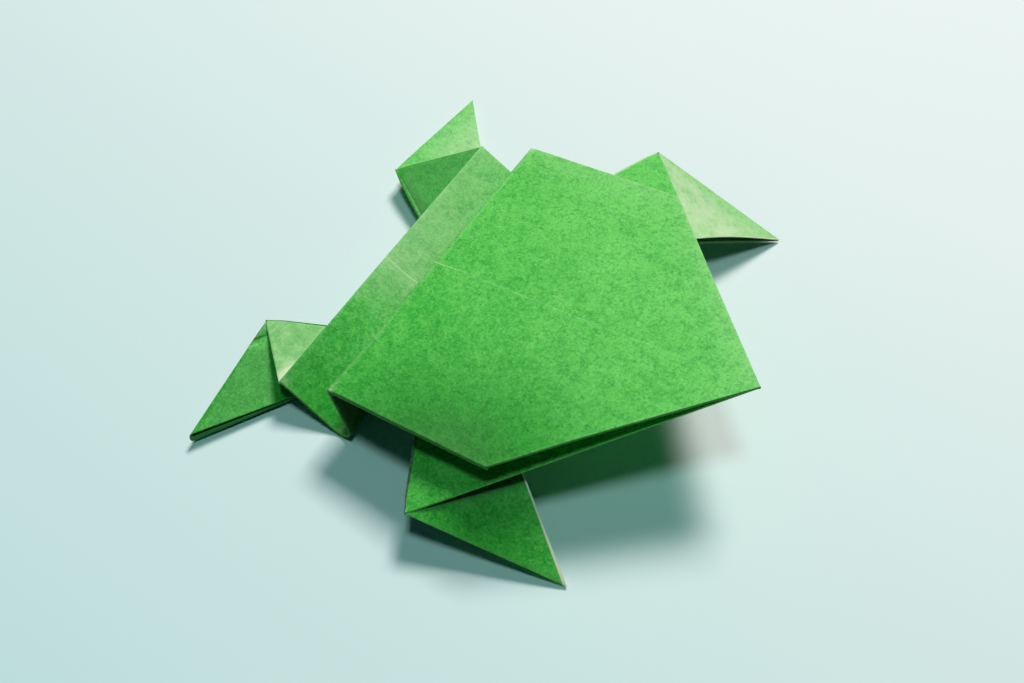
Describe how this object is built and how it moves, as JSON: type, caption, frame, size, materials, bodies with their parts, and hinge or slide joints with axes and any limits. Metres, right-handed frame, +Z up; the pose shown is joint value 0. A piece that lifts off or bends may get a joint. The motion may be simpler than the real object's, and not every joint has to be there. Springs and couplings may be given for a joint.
{
  "type": "origami jumping frog",
  "caption": "Traditional jumping frog folded from one sheet of green paper, with a pointed head panel, an open mouth, a pleated back and four spread legs.",
  "frame": {"origin": "middle of the plan box, on the plane the frog rests on", "axes": "+X towards the nose, +Y to the frog's left, +Z up"},
  "size_m": [0.0685, 0.0754, 0.0206],
  "materials": {
    "green_paper": "matte craft paper coloured on both faces, faint fibres, paler cut edges"
  },
  "bodies": {
    "root": {"folded_sheet": "green_paper"}
  },
  "joints": []
}
